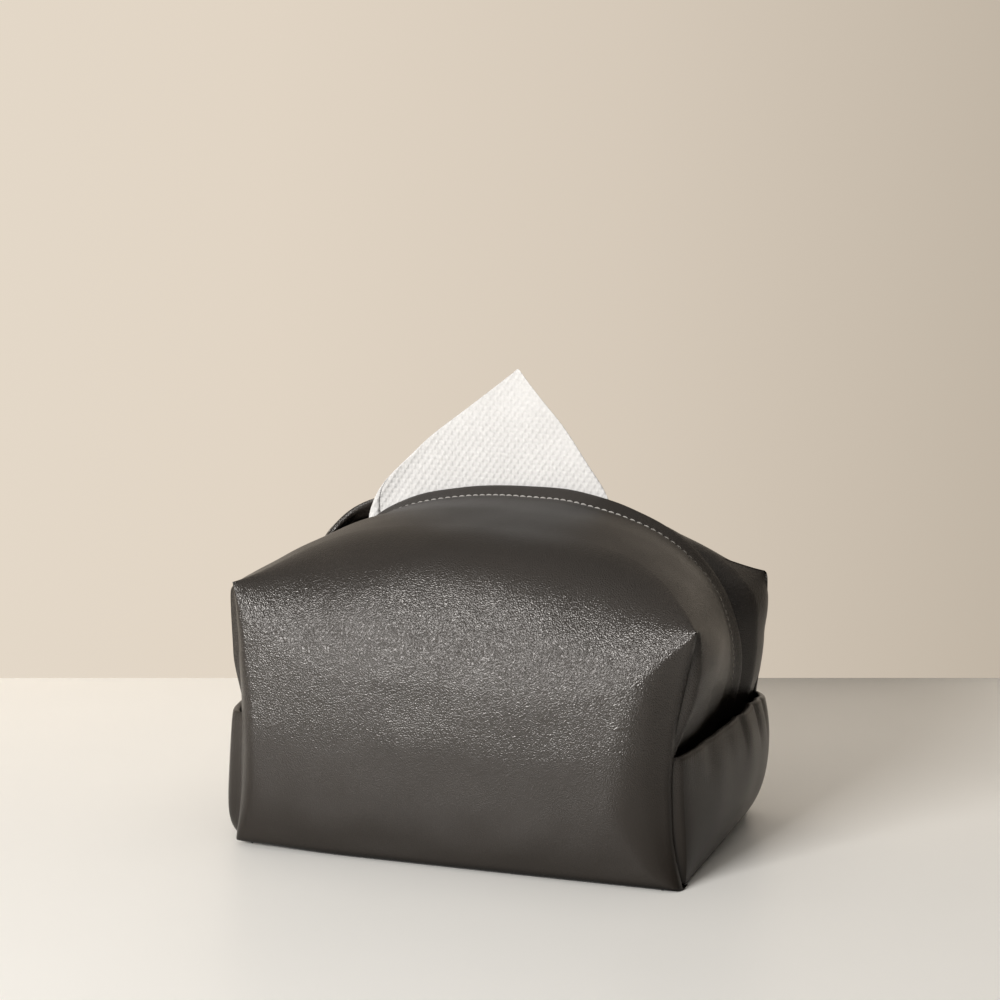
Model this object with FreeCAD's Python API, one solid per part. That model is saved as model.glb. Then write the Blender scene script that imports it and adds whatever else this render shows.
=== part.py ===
"""A soft leather case for a refill pack of paper tissues, with boxed corners and a mouth between two hemmed lips.

The case is a warped box. Every skin is worked out by the same functions at some inset below the outer face, so
neighbouring panels meet along the same curves. X runs along the case, Y from front to back, Z up from the table.
"""

import FreeCAD, Part
import math
import os

# Case: overall form (mm)
BASE_HALF_LENGTH = 98.3  # centre to the bottom corners
EAR_HALF_LENGTH = 100.0  # centre to the pinched top corners
HALF_DEPTH = 60.0  # centre to the planes of the corner seams
EAR_HEIGHT = 110.0  # mean height of the four pinched top corners
LEAN = 3.0  # how far the top of the filled case leans to the right
FRONT_CROWN = 21.0  # rise of the front shoulder line between its two ears
BACK_CROWN = 11.0
FACE_BELLY = 8.0  # how far the front and back faces swell past the seams
FOLD_BELLY = 1.4  # how far the bottom fold swells past the corners
LEATHER = 1.5

# How much each ear stands above the mean, and how much each corner seam is drawn in at its waist
FRONT_LEFT_EAR_RISE = 4.5
FRONT_RIGHT_EAR_RISE = -3.0
BACK_LEFT_EAR_RISE = 0.5
BACK_RIGHT_EAR_RISE = -0.5
FRONT_LEFT_WAIST = 3.0
FRONT_RIGHT_WAIST = 6.8
BACK_LEFT_WAIST = 1.0
BACK_RIGHT_WAIST = -2.0

# Shoulders: the roll from the faces into the top
SHOULDER_LEG = 30.0  # length of the roll on each side of the corner line, at the middle of the case
EAR_LEG = 0.8  # the same at the ears
ROLL_SHARE = 0.25  # share of a panel's rows given to the roll at the middle

# Mouth and lips
LIP_HEIGHT = 145.3
BACK_LIP_HEIGHT = 140.5
FRONT_LIP_Y = 32.0
BACK_LIP_Y = 47.0
LIP_OVERLAP = 4.0  # how far the back lip runs under the front one at the ends
LIP_OUTSTAND = 1.0  # how far the ends of the front lip stand out past the mean of the ears
LIP_HALF_LENGTH = EAR_HALF_LENGTH + LIP_OUTSTAND
# Exponent of each half of a lip's arch, where 2 is an ellipse, and how far that half swells at its shoulder
LIP_ROUNDNESS = {("front", -1): 2.5, ("front", 1): 2.5, ("back", -1): 3.5, ("back", 1): 2.6}
BACK_LIP_LEFT_SWELL = 5.0
BACK_LIP_RIGHT_SWELL = -4.0
# Angles over the arch, in degrees from its top, where the back lip starts to leave the front one and has left it
BACK_LIP_PARTS = {-1: (75.0, 42.0), 1: (66.0, 10.0)}
UNDERLAP_PART = 0.27  # share of that parting up to which the back lip lies under the front one
RELEASE_PART = 0.65  # share of it from which the back lip has its own shape
FRONT_HEM_WIDTH = 11.0
BACK_HEM_WIDTH = 5.0
HEM_LEATHER = 1.2
FREE_COLUMNS = 1  # columns of each lip's ends left free of hem and stitching
# Share of the way from corner line to lip where the flexing part begins
FLEX_START = {"front": 0.4, "back": 0.12}
FRONT_STITCH_INSET = 8.2
BACK_STITCH_INSET = 2.5
THREAD = 0.6

# Ends: the side seams at mid height and the flaps below them
END_SEAM_FRONT = 52.0
END_SEAM_MOUTH = 58.0
END_SEAM_BACK = 55.0
LEFT_END_SWELL = 6.0  # swell of the upper end between its corner seam and the lip
RIGHT_END_SWELL = 5.0
END_SWELL_FADE = 0.55  # share of the arch's height above which that swell fades out towards the ears
END_SWELL_FOOT = 0.3  # share of that swell left at the end seam
END_SWELL_FULL = 0.45  # share of the arch's height at which it is full
FLAP_SWELL = 13.0  # swell of the lower end flap
FLAP_FULLNESS = 4.5  # exponent of its profile near the table
FLAP_SKEW = {-1: -0.2, 1: 0.25}  # how far each flap's fullest part lies towards the back
RIM_TURN = 0.36  # share of that swell that the rim turns back in
SEAM_TUCK = 3.0  # how far the upper end dives in behind the rim
SEAM_ALLOWANCE = 6.0

# Refill pack and tissue
PACK_LENGTH = 172.0
PACK_FRONT_Y = -48.0
PACK_BACK_Y = 46.0
PACK_HEIGHT = 76.0
PACK_CORNER = 9.0
FILM = 0.4
PACK_SLOT_LENGTH = 130.0
PACK_SLOT_WIDTH = 14.0
TISSUE_THICK = 0.8
TISSUE_TIP = (-1.5, 197.0)  # X and Z of the pulled sheet's corner
TISSUE_LEFT = (-73.0, 120.0)
TISSUE_LEFT_BEND = (-58.0, 150.5)
TISSUE_RIGHT = (40.0, 140.0)
TISSUE_FOOT_LEFT = -50.0
TISSUE_FOOT_RIGHT = 30.0

# Clearances
MOVING_GAP = 0.6  # between pieces on different bodies
UNDERLAP_GAP = 2.2  # more of the same where the back lip lies under the front one
TISSUE_GAP = 1.0  # front lip to the sheet in the mouth
SEATED_GAP = 0.25  # between pieces of one body that lie on each other

FRONT = "front"
BACK = "back"
LEFT = -1
RIGHT = 1
EAR_ANGLE = math.pi / 4  # angle over the arch at which the ears lie
SHOULDER_CROWN = {FRONT: FRONT_CROWN, BACK: BACK_CROWN}
EAR_RISE = {
    (FRONT, LEFT): FRONT_LEFT_EAR_RISE,
    (FRONT, RIGHT): FRONT_RIGHT_EAR_RISE,
    (BACK, LEFT): BACK_LEFT_EAR_RISE,
    (BACK, RIGHT): BACK_RIGHT_EAR_RISE,
}
SEAM_WAIST = {
    (FRONT, LEFT): FRONT_LEFT_WAIST,
    (FRONT, RIGHT): FRONT_RIGHT_WAIST,
    (BACK, LEFT): BACK_LEFT_WAIST,
    (BACK, RIGHT): BACK_RIGHT_WAIST,
}
BACK_LIP_SWELL = {LEFT: BACK_LIP_LEFT_SWELL, RIGHT: BACK_LIP_RIGHT_SWELL}
HEM_WIDTH = {FRONT: FRONT_HEM_WIDTH, BACK: BACK_HEM_WIDTH}
STITCH_INSET = {FRONT: FRONT_STITCH_INSET, BACK: BACK_STITCH_INSET}
END_SWELL = {LEFT: LEFT_END_SWELL, RIGHT: RIGHT_END_SWELL}
SIDE_SIGN = {FRONT: -1, BACK: 1}


def mix(a, b, t):
    return a + (b - a) * t


def sign(value):
    return -1 if value < 0 else 1


def smooth(t):
    t = min(1.0, max(0.0, t))
    return t * t * (3.0 - 2.0 * t)


def ear_height(side, xi):
    """Height of the line between a side's two ears, xi from -1 at the left to 1 at the right."""
    return EAR_HEIGHT + mix(EAR_RISE[side, LEFT], EAR_RISE[side, RIGHT], (xi + 1) / 2)


def waist(side, xi):
    return mix(SEAM_WAIST[side, LEFT], SEAM_WAIST[side, RIGHT], (xi + 1) / 2)


def half_length(side, xi, zeta, inset):
    """Half-length of a face at the share zeta of its height, drawn in between table and ear."""
    straight = mix(BASE_HALF_LENGTH, EAR_HALF_LENGTH, zeta)
    height = min(1.0, max(0.0, zeta))
    return straight - inset - waist(side, xi) * math.sin(math.pi * height**0.9)


def belly(xi, zeta):
    """Swell of the front or back face, none at the corner seams."""
    height = mix(FOLD_BELLY, FACE_BELLY * 0.75, zeta) + FACE_BELLY * 0.45 * math.sin(math.pi * zeta)
    return height * (1 - xi**4)


def crown(side, xi, zeta):
    return SHOULDER_CROWN[side] * (1 - xi * xi) * zeta**3


def face_plane(side, xi, zeta, inset):
    """The front or back face before its shoulder is rolled, up to the corner line at zeta = 1."""
    x = xi * half_length(side, xi, zeta, inset) + LEAN * zeta**2
    z = mix(inset, ear_height(side, xi) - inset, zeta) + crown(side, xi, zeta)
    y = SIDE_SIGN[side] * (HALF_DEPTH - inset + belly(xi, zeta))
    return FreeCAD.Vector(x, y, z)


def parting(psi):
    """How far the back lip has left the front one, from 0 where it lies under it to 1 where the mouth is open."""
    start, end = BACK_LIP_PARTS[sign(psi)]
    return smooth((start - abs(math.degrees(psi))) / (start - end))


def release(psi):
    """How far the back lip has its own shape, from 0 under the front lip to 1 clear of it."""
    return smooth((parting(psi) - UNDERLAP_PART) / (RELEASE_PART - UNDERLAP_PART))


def lip_y(side, psi):
    """The plane of a lip. The back lip runs forward and under the front lip towards its ends."""
    if side == FRONT:
        return FRONT_LIP_Y
    return mix(FRONT_LIP_Y - LIP_OVERLAP, BACK_LIP_Y, parting(psi))


def lip_half_length(side, psi):
    if side == FRONT:
        return LIP_HALF_LENGTH
    under = LEATHER + HEM_LEATHER + SEATED_GAP + MOVING_GAP + UNDERLAP_GAP
    swell = BACK_LIP_SWELL[sign(psi)] * smooth(abs(psi) / EAR_ANGLE)
    return LIP_HALF_LENGTH + mix(-under, swell, release(psi))


def lip_roundness(side, psi):
    """Exponent of a lip's arch. The back lip takes the front one's shape where it lies under it."""
    end = sign(psi)
    if side == FRONT:
        return LIP_ROUNDNESS[FRONT, end]
    return mix(LIP_ROUNDNESS[FRONT, end], LIP_ROUNDNESS[BACK, end], release(psi))


def end_seam_height(side, share):
    """Height of the end seam, share from 0 at the corner seam to 1 at the lip."""
    start = END_SEAM_FRONT if side == FRONT else END_SEAM_BACK
    return mix(start, END_SEAM_MOUTH, smooth(share))


def end_seam_height_at(y):
    """Height of the end seam at one place along it."""
    if y < FRONT_LIP_Y:
        return end_seam_height(FRONT, (HALF_DEPTH + y) / (HALF_DEPTH + FRONT_LIP_Y))
    return end_seam_height(BACK, (HALF_DEPTH - y) / (HALF_DEPTH - FRONT_LIP_Y + LIP_OVERLAP))


def height_share(side, xi, z, inset):
    """The share of a face's height, up to its corner line, at which the height z lies."""
    return (z - inset) / (ear_height(side, xi) - 2 * inset)


def depth(side, psi):
    """Distance from the corner line to the lip at one angle."""
    return abs(SIDE_SIGN[side] * HALF_DEPTH - lip_y(side, psi))


def arch_point(side, psi, share, inset):
    """The upper case: psi from -90 to 90 degrees over the arch, share from 0 at the corner line to 1 at the lip.

    The arch is a rounded rectangle that has sharp corners at the ears and turns into the lip's smooth arch.
    """
    power = lip_roundness(side, psi) / max(share, 0.01) ** 0.85
    sine = abs(math.sin(psi))
    cosine = abs(math.cos(psi))
    reach = max(sine, cosine)
    norm = reach * ((sine / reach) ** power + (cosine / reach) ** power) ** (1 / power)
    if share <= 0:
        norm = reach
    xi = math.copysign(sine / norm, psi)
    eta = cosine / norm
    seam_z = end_seam_height(side, share)
    top = mix(ear_height(side, xi), LIP_HEIGHT if side == FRONT else BACK_LIP_HEIGHT, share)
    z = mix(seam_z, top - inset, eta) + crown(side, xi, eta) * (1 - share)
    zeta = height_share(side, xi, z, inset)
    seam_half = half_length(side, xi, min(1.0, zeta), 0.0)
    half = mix(seam_half, lip_half_length(side, psi), share**0.8)
    fade = 1 - smooth((eta - END_SWELL_FADE) / (1 - END_SWELL_FADE))
    swell = END_SWELL[sign(psi)] * fade * mix(END_SWELL_FOOT, 1, smooth(eta / END_SWELL_FULL))
    half += swell * math.sin(math.pi * share**0.5) - inset
    half -= SEAM_TUCK * (1 - eta) ** 4 * smooth(share * 6)
    x = xi * half + mix(LEAN * min(1.0, zeta) ** 2, LEAN * 0.85, share)
    start = SIDE_SIGN[side] * (HALF_DEPTH - inset + belly(xi, 1.0) * eta)
    return FreeCAD.Vector(x, mix(start, lip_y(side, psi), share), z)


def shoulder_leg(xi):
    return max(EAR_LEG, mix(SHOULDER_LEG, EAR_LEG, abs(xi) ** 5))


def roll_share(xi):
    """Share of a panel's length that lies in the roll."""
    return ROLL_SHARE * shoulder_leg(xi) / SHOULDER_LEG


def shoulder(side, xi, inset):
    """The roll between face and top at one column: its start, its corner and its end."""
    leg = shoulder_leg(xi)
    psi = math.atan(xi)
    corner = face_plane(side, xi, 1.0, inset)
    low = face_plane(side, xi, 1 - leg / EAR_HEIGHT, inset)
    back_share = min(0.5, leg / depth(side, 0.0))
    high = arch_point(side, psi, back_share, inset)
    return low, corner, high, back_share


def roll(low, corner, high, t):
    return low * (1 - t) ** 2 + corner * (2 * t * (1 - t)) + high * t * t


def face_point(side, xi, v, inset):
    """The front or back face with its half of the shoulder roll, v from 0 at the table to 1."""
    low, corner, high, _ = shoulder(side, xi, inset)
    split = 1 - roll_share(xi)
    if v <= split:
        return face_plane(side, xi, (1 - shoulder_leg(xi) / EAR_HEIGHT) * v / split, inset)
    return roll(low, corner, high, 0.5 * (v - split) / (1 - split))


def top_point(side, psi, share, inset):
    """The upper case behind the shoulder roll, share from 0 at the middle of the roll to 1 at the lip."""
    if abs(psi) > math.pi / 4:
        return arch_point(side, psi, share, inset)
    xi = math.tan(psi)
    low, corner, high, back_share = shoulder(side, xi, inset)
    split = roll_share(xi)
    if share <= split:
        return roll(low, corner, high, 0.5 + 0.5 * share / split)
    return arch_point(side, psi, mix(back_share, 1.0, (share - split) / (1 - split)), inset)


def flap_profile(v):
    """Swell of a lower end flap up its height, from its fold on the table to its rim."""
    return (1 - (1 - v) ** FLAP_FULLNESS) * (1 - RIM_TURN * v**6)


def flap_point(end, w, v, inset):
    """A lower end flap, w from -1 at the front seam to 1 at the back, v from 0 at the table to 1 at its rim."""
    z = mix(inset, end_seam_height_at(w * HALF_DEPTH), v)
    front_x = half_length(FRONT, end, height_share(FRONT, end, z, inset), inset)
    back_x = half_length(BACK, end, height_share(BACK, end, z, inset), inset)
    skewed = abs(w - FLAP_SKEW[end] * (1 - w * w))
    swell = FLAP_SWELL * (1 - skewed**3) ** 0.7 * flap_profile(v)
    x = mix(front_x, back_x, smooth((w + 1) / 2)) + swell
    lean = LEAN * height_share(FRONT, end, z, inset) ** 2
    return FreeCAD.Vector(end * x + lean, w * (HALF_DEPTH - inset), z)


# ---- solids


def knots(count, degree):
    """Multiplicities and knots of a clamped uniform spline with this many poles."""
    inner = count - degree - 1
    values = [float(k) for k in range(inner + 2)]
    return [degree + 1] + [1] * inner + [degree + 1], values


def skin(rows):
    """A spline face whose poles are the given rows of points."""
    u_degree = min(3, len(rows) - 1)
    v_degree = min(3, len(rows[0]) - 1)
    u_mults, u_knots = knots(len(rows), u_degree)
    v_mults, v_knots = knots(len(rows[0]), v_degree)
    surface = Part.BSplineSurface()
    surface.buildFromPolesMultsKnots(rows, u_mults, v_mults, u_knots, v_knots, False, False, u_degree, v_degree)
    return surface.toShape()


def closed(faces):
    solid = Part.Solid(Part.Shell(faces))
    if solid.Volume < 0:
        solid.reverse()
    return solid


def flat(face):
    """The plane face inside the edges of a spline face that is flat."""
    return Part.Face(Part.Wire(Part.__sortEdges__(face.Edges)))


def sheet_solid(outer, inner, finish=lambda face: face):
    """A solid between two skins, each a list of patches side by side that share their end rows."""
    faces = [finish(skin(rows)) for rows in outer + inner]
    for rows_out, rows_in in zip(outer, inner):
        for end in (0, -1):
            faces.append(skin([[row[end] for row in rows_out], [row[end] for row in rows_in]]))
    faces.append(skin([outer[0][0], inner[0][0]]))
    faces.append(skin([outer[-1][-1], inner[-1][-1]]))
    return closed(faces)


def steps(start, stop, count):
    return [mix(start, stop, k / (count - 1)) for k in range(count)]


def panel(point, us, vs, finish=lambda face: face):
    """A leather panel: point(u, v, inset) from its outer face down to its inner face."""
    outer, inner = ([[[point(u, v, inset) for v in vs] for u in us]] for inset in (0.0, LEATHER))
    return sheet_solid(outer, inner, finish)


def arch_angles(free):
    """Angles over the arch in three runs, left end, top and right end, that meet at the ears."""
    left = steps(-math.pi / 2, -EAR_ANGLE, 9)[free:]
    top = [math.atan(xi) for xi in steps(-1, 1, 21)]
    right = [-psi for psi in reversed(left)]
    return left, top, right


def arch_sheet(side, from_share, to_share, outset, thickness, free=0, rows=9):
    """A band of the upper case. from_share and to_share give the band's edges at an angle over the arch."""

    def run(angles, inset):
        return [
            [top_point(side, psi, share, inset) for share in steps(from_share(psi), to_share(psi), rows)]
            for psi in angles
        ]

    runs = arch_angles(free)
    return sheet_solid(*([run(angles, inset) for angles in runs] for inset in (outset, outset + thickness)))


def from_lip(side, distance):
    """The share of the way to the lip that lies a distance short of it."""
    return lambda psi: 1 - distance / depth(side, psi)


def constant(value):
    return lambda psi: value


def corner_seam(side, end):
    """The two seam allowances of a corner seam, lying together inside the case along the corner's bisector."""
    half = HEM_LEATHER
    nearest = LEATHER + half * math.sqrt(0.5) + SEATED_GAP
    insets = steps(nearest, nearest + SEAM_ALLOWANCE * math.sqrt(0.5), 3)
    across = FreeCAD.Vector(end, -SIDE_SIGN[side], 0) * (half * math.sqrt(0.5))
    heights = steps(0.06, 0.9, 9)

    def layer(sign):
        return [[[face_plane(side, end, zeta, inset) + across * sign for inset in insets] for zeta in heights]]

    return sheet_solid(layer(1), layer(-1))


def end_seam(end):
    """The seam allowance that joins a flap's rim to the upper end, turned into the case."""
    top = MOVING_GAP
    widths = steps(0, 1, 3)

    def layer(drop):
        rows = []
        for w in steps(-0.9, 0.9, 11):
            rim = flap_point(end, w, 1.0, LEATHER + SEATED_GAP)
            reach = mix(SEAM_ALLOWANCE, SEAM_ALLOWANCE * 2, 1 - abs(w))
            rows.append([rim + FreeCAD.Vector(-end * reach * k, 0, -drop) for k in widths])
        return [rows]

    return sheet_solid(layer(top), layer(top + 2 * HEM_LEATHER))


def base_point(xi, w, inset):
    x = xi * half_length(FRONT, xi, 0.0, inset)
    return FreeCAD.Vector(x, w * (HALF_DEPTH - inset + FOLD_BELLY * (1 - xi**4)), inset)


def pack_block(inset, height, bottom):
    length = PACK_LENGTH - 2 * inset
    width = PACK_BACK_Y - PACK_FRONT_Y - 2 * inset
    corner = FreeCAD.Vector(-length / 2, PACK_FRONT_Y + inset, bottom)
    block = Part.makeBox(length, width, height, corner)
    upright = [edge for edge in block.Edges if abs(edge.tangentAt(edge.FirstParameter).z) > 0.9]
    return block.makeFillet(PACK_CORNER - inset, upright)


PACK_BOTTOM = LEATHER + SEATED_GAP
SHEET_Y = FRONT_LIP_Y + TISSUE_GAP


def tissue_stack():
    """The folded sheets left in the pack."""
    gap = FILM + SEATED_GAP
    return pack_block(gap, PACK_HEIGHT - 2 * gap, PACK_BOTTOM + gap)


def refill_wrapper():
    """The film round the sheets, with a slot torn out under the mouth."""
    outer = pack_block(0.0, PACK_HEIGHT, PACK_BOTTOM)
    inner = pack_block(FILM, PACK_HEIGHT - 2 * FILM, PACK_BOTTOM + FILM)
    slot_start = FreeCAD.Vector(-PACK_SLOT_LENGTH / 2, SHEET_Y - PACK_SLOT_WIDTH / 2, PACK_BOTTOM + PACK_HEIGHT / 2)
    slot = Part.makeBox(PACK_SLOT_LENGTH, PACK_SLOT_WIDTH, PACK_HEIGHT, slot_start)
    upright = [edge for edge in slot.Edges if abs(edge.tangentAt(edge.FirstParameter).z) > 0.9]
    return outer.cut(inner).cut(slot.makeFillet(PACK_SLOT_WIDTH * 0.45, upright))


def top_tissue():
    """The sheet pulled up through the mouth, a gathered foot below and one corner on top."""
    foot = PACK_BOTTOM + PACK_HEIGHT - FILM + SEATED_GAP
    outline = [
        (TISSUE_FOOT_LEFT, foot),
        TISSUE_LEFT,
        TISSUE_LEFT_BEND,
        TISSUE_TIP,
        TISSUE_RIGHT,
        (TISSUE_FOOT_RIGHT, foot),
    ]
    corners = [FreeCAD.Vector(x, SHEET_Y, z) for x, z in outline]
    face = Part.Face(Part.makePolygon(corners + corners[:1]))
    return face.extrude(FreeCAD.Vector(0, TISSUE_THICK, 0))


def parts():
    """Every node of the case and its solid."""
    made = {}
    across = steps(-1, 1, 21)
    upward = steps(0, 1, 15)
    gap = MOVING_GAP / 2
    for side in (FRONT, BACK):
        reach = depth(side, 0.0)
        made[f"{side}_panel"] = panel(lambda xi, v, inset: face_point(side, xi, v, inset), across, upward)
        shoulders = constant(FLEX_START[side] - gap / reach)
        flex = constant(FLEX_START[side] + gap / reach)
        made[f"{side}_shoulder_panel"] = arch_sheet(side, constant(0.0), shoulders, 0.0, LEATHER)
        made[f"{side}_lip_panel"] = arch_sheet(side, flex, constant(1.0), 0.0, LEATHER)
        under = LEATHER + SEATED_GAP
        hem_edge = from_lip(side, HEM_WIDTH[side])
        made[f"{side}_lip_hem"] = arch_sheet(side, hem_edge, constant(1.0), under, HEM_LEATHER, FREE_COLUMNS, 4)
        first = from_lip(side, STITCH_INSET[side] + THREAD / 2)
        last = from_lip(side, STITCH_INSET[side] - THREAD / 2)
        over = -SEATED_GAP - THREAD / 2
        made[f"{side}_lip_stitching"] = arch_sheet(side, first, last, over, THREAD / 2, FREE_COLUMNS, 2)
        for end, name in ((LEFT, "left"), (RIGHT, "right")):
            made[f"{side}_{name}_corner_seam"] = corner_seam(side, end)
    for end, name in ((LEFT, "left"), (RIGHT, "right")):
        made[f"{name}_end_flap"] = panel(lambda w, v, inset: flap_point(end, w, v, inset), across, upward)
        made[f"{name}_end_seam"] = end_seam(end)
    made["base_panel"] = panel(base_point, across, steps(-1, 1, 5), flat)
    made["tissue_stack"] = tissue_stack()
    made["refill_wrapper"] = refill_wrapper()
    made["top_tissue"] = top_tissue()
    return made


def main():
    os.makedirs("parts", exist_ok=True)
    made = parts()
    box = Part.makeCompound(list(made.values())).BoundBox
    for name, shape in made.items():
        shape.translate(FreeCAD.Vector(-box.Center.x, -box.Center.y, 0))
        shape.exportStep(f"parts/{name}.step")
        print(f"{name}: valid {shape.isValid()}, {len(shape.Solids)} solid, {shape.Volume / 1000:.2f} cm3")


main()
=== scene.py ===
"""A soft leather tissue case with boxed corners, a hemmed and topstitched mouth and one embossed tissue.

The leather is worked out in millimetres by functions like those of the CAD source, then shifted and scaled
into the frame. Each skin has an outer face, a turned edge and an inner face.
"""

import bmesh
import bpy
import math
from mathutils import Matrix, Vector, noise


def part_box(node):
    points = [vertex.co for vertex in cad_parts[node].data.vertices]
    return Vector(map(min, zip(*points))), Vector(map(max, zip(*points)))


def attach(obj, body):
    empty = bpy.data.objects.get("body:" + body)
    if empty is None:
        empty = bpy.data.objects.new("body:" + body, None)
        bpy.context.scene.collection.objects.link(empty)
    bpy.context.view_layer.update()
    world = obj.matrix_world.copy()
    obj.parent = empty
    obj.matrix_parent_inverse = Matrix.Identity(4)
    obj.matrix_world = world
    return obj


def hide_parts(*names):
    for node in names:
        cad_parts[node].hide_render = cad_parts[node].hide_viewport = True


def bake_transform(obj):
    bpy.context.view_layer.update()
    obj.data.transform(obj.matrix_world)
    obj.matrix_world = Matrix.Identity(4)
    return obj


noise.seed_set(1)  # without a seed, noise_vector differs from run to run
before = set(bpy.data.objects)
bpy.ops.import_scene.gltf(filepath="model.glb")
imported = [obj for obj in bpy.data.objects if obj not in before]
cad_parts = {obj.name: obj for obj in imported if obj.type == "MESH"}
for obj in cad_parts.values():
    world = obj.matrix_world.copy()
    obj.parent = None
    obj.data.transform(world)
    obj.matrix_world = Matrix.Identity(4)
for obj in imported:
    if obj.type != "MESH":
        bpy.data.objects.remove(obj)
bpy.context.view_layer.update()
base_low, base_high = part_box("base_panel")
SHIFT = (base_low[0] + base_high[0]) / 2 * 1000  # millimetres from the case's own centre to the frame's

# ---- the case's form, in millimetres
#
# On a face, xi runs from -1 at the left seam to 1 at the right one, and zeta from 0 at the table to 1 at
# the ears. On the upper case, psi is the angle around its arch, 0 in the middle, and share runs from 0 at
# the face to 1 at the lip. An inset is a distance inwards from the outer face. A pair that says where
# something starts or ends holds that place and the span of the change.

FRONT, BACK = "front", "back"
LEFT, RIGHT = -1, 1
SIDE_SIGN = {FRONT: -1, BACK: 1}

BASE_HALF_LENGTH = 98.3
EAR_HALF_LENGTH = 100.0
HALF_DEPTH = 60.0
LEATHER = 1.5
LEAN = 3.0  # how far the ears stand to the right of the base
LIP_LEAN = 0.85  # the lip's share of that

EAR = math.pi / 4  # where the ears are around the arch
EAR_HEIGHT = 110.0
EAR_RISE = {(FRONT, LEFT): 4.5, (FRONT, RIGHT): -3.0, (BACK, LEFT): 0.5, (BACK, RIGHT): -0.5}
EAR_LEG = 0.8  # the shoulder roll's reach at the ears
SHOULDER_LEG = 37.0  # and in the middle

CROWN = {FRONT: 21.0, BACK: 11.0}  # how far a face rises between its ears
CROWN_POWER = {(FRONT, LEFT): 1.45, (FRONT, RIGHT): 1.0, (BACK, LEFT): 1.0, (BACK, RIGHT): 1.5}
CROWN_ONSET = 3  # the rise goes with this power of the height

SEAM_WAIST = {(FRONT, LEFT): 3.0, (FRONT, RIGHT): 6.8, (BACK, LEFT): 1.0, (BACK, RIGHT): -2.0}
WAIST_POWER = 0.9  # below 1 the waist is a little under mid height
BACK_CORNER_SWELL = 3.1  # the upper back right corner is stuffed out
CORNER_SWELLS = ((0.25, (0.5, 0.1), (1.0, 0.1)), (0.75, (0.74, 0.18), (1.06, 0.1)))  # share, start, end

FOLD_BELLY, MID_BELLY, TOP_BELLY = 1.4, 0.8, 1.5  # the slow curve of a stuffed face
FLANK_WIDTH = {LEFT: 7.0, RIGHT: 18.0}  # the stuffed face turns a soft corner before its seams
FLANK_DEPTH = 7.0
FLANK_POWER = 0.55  # how fast the flanks grow above the table
LOW_FLANK_STRAIGHT, HIGH_FLANK_STRAIGHT = 0.3, 0.7  # share of the flank before it bends over
FLANK_CHANGE = (0.35, 0.5)
SEAM_SET_BACK, SET_BACK_POWER = 2.0, 0.8

LIP_TOP = {FRONT: 145.3, BACK: 140.5}
FRONT_LIP_Y, BACK_LIP_Y, LIP_OVERLAP, LIP_HALF_LENGTH = 32.0, 47.0, 4.0, 101.0
ROUNDNESS = {(FRONT, LEFT): 2.44, (FRONT, RIGHT): 2.4, (BACK, LEFT): 4.2, (BACK, RIGHT): 2.6}
ROUNDING_POWER = 0.85  # how fast the arches turn from the face's square outline to the round lip
SPREAD_POWER = 0.8  # how fast they reach the lip's length
BACK_PARTS = {LEFT: (75.0, 42.0), RIGHT: (66.0, 10.0)}  # degrees where the back lip comes out, and is free
RELEASE_START = (0.27, 0.38)
BACK_SWELL = {LEFT: 5.0, RIGHT: -4.0}  # the back lip's own length, against the front lip's
UNDER = 5.75  # how far inside the front lip its ends lie
UNDER_START = (0.5, 0.38)  # where, from the face to the lip, the hidden leather draws in to there

END_SWELL = {(FRONT, LEFT): 6.0, (FRONT, RIGHT): 5.0, (BACK, LEFT): 6.0, (BACK, RIGHT): 2.25}
SWELL_FADE = {LEFT: 0.88, RIGHT: 0.55}  # the upper ends are stuffed out less above this share of their height
SWELL_FOOT, SWELL_RISE = 0.3, 0.45  # and at their foot
END_TUCK = {FRONT: 5.0, BACK: 2.0}  # how far the upper ends dive in behind the flaps
TUCK_POWER, TUCK_ONSET = 5, 6

SEAM_START = {FRONT: 54.0, BACK: 55.0}  # height of a flap's rim at the upright seams
SEAM_MOUTH = 58.0  # and below the mouth
LEFT_RIM_RISE = 3.0  # the left flap reaches higher than the right one
FLAP_SWELL = 13.0  # how far a flap is stuffed out
FLAP_FULLNESS = {LEFT: 12.0, RIGHT: 4.5}  # how soon above the table a flap is full
FLAP_SKEW = {LEFT: -0.2, RIGHT: 0.25}  # its fullest place, from front to back
FLAP_POWERS = (3, 0.7)  # its roundness from front to back
RIM_TURN = {LEFT: 0.2, RIGHT: 0.36}  # how far its rim turns in again
RIM_TURN_POWER = 6


def mix(a, b, t):
    return a + (b - a) * t


def clamp(t):
    return min(1.0, max(0.0, t))


def smooth(t):
    t = clamp(t)
    return t * t * (3.0 - 2.0 * t)


def rise(value, start, span):
    """0 up to the start, 1 from one span after it."""
    return smooth((value - start) / span)


def fall(value, end, span):
    """1 up to one span before the end, 0 from the end."""
    return smooth((end - value) / span)


def bell(distance, width):
    return math.exp(-((distance / width) ** 2))


def sign(value):
    return -1 if value < 0 else 1


def steps(start, stop, count):
    return [mix(start, stop, k / (count - 1)) for k in range(count)]


def quarter_round(radius, drop):
    """How far a rounded edge has gone in where it is this much below its start."""
    return radius - math.sqrt(max(0.0, radius * radius - drop * drop))


def ear_height(side, xi):
    return EAR_HEIGHT + mix(EAR_RISE[side, LEFT], EAR_RISE[side, RIGHT], (xi + 1) / 2)


def corner_swell(zeta):
    parts = [share * rise(zeta, *start) * fall(zeta, *end) for share, start, end in CORNER_SWELLS]
    return BACK_CORNER_SWELL * sum(parts)


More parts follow.
